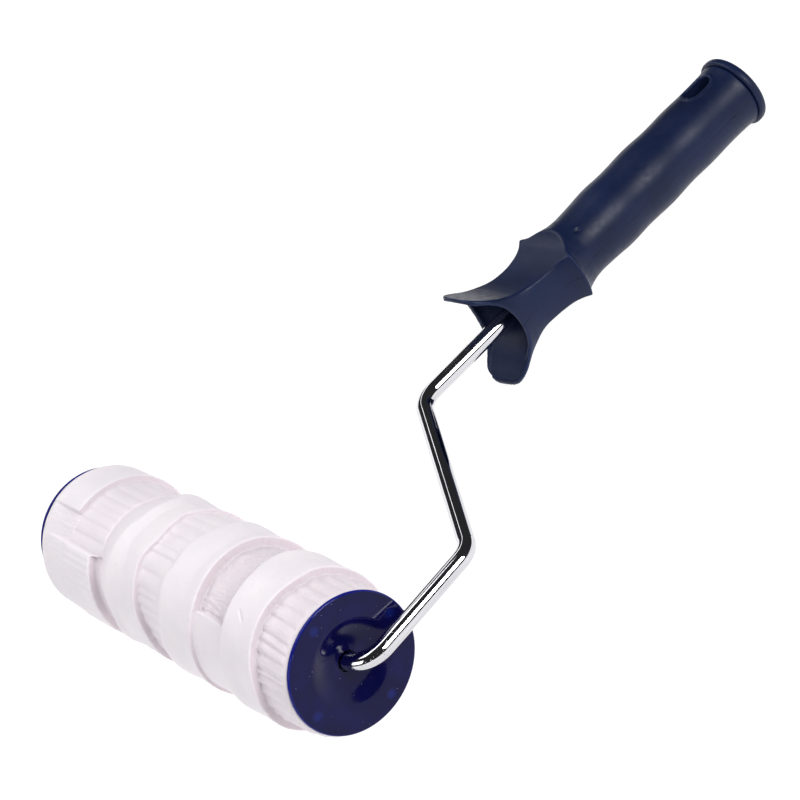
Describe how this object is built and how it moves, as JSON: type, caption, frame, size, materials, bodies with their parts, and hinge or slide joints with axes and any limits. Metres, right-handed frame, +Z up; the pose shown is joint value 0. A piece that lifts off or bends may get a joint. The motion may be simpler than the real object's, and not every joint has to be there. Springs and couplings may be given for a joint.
{
  "type": "textured pattern roller",
  "caption": "Hand roller with a moulded rubber relief sleeve that turns on a cranked chrome rod, with a plastic grip, thumb guard and hanging slot.",
  "frame": {"origin": "on the ground, under the middle of the tool's bounding box, with the tool lying on its back", "axes": "+X along the roller's axis towards the end where the rod comes out, +Y along the tool from the roller to the butt of the grip, +Z up"},
  "size_m": [0.2256, 0.3838, 0.07],
  "materials": {
    "chrome_rod": "bright chrome plating on round steel bar",
    "zinc_steel": "zinc plated steel",
    "grip_plastic": "navy polypropylene with a fine satin grain",
    "cap_plastic": "glossy dark blue moulded plastic",
    "sleeve_rubber": "off-white moulded soft rubber, matte",
    "core_plastic": "plain grey pipe",
    "bush_nylon": "black nylon"
  },
  "bodies": {
    "frame": {"frame_rod": "chrome_rod", "stop_collar": "zinc_steel", "inner_thrust_washer": "zinc_steel", "outer_thrust_washer": "zinc_steel", "push_nut": "zinc_steel", "handle_grip": "grip_plastic", "handle_end_plug": "grip_plastic"},
    "roller": {"core_tube": "core_plastic", "texture_sleeve": "sleeve_rubber", "near_end_cap": "cap_plastic", "far_end_cap": "cap_plastic", "near_bush": "bush_nylon", "far_bush": "bush_nylon"}
  },
  "joints": [
    {"name": "roller_spin", "type": "hinge", "parent": "frame", "child": "roller", "pos_m": [0, -0.15601, 0.03525], "axis": [1, 0, 0], "continuous": true}
  ]
}
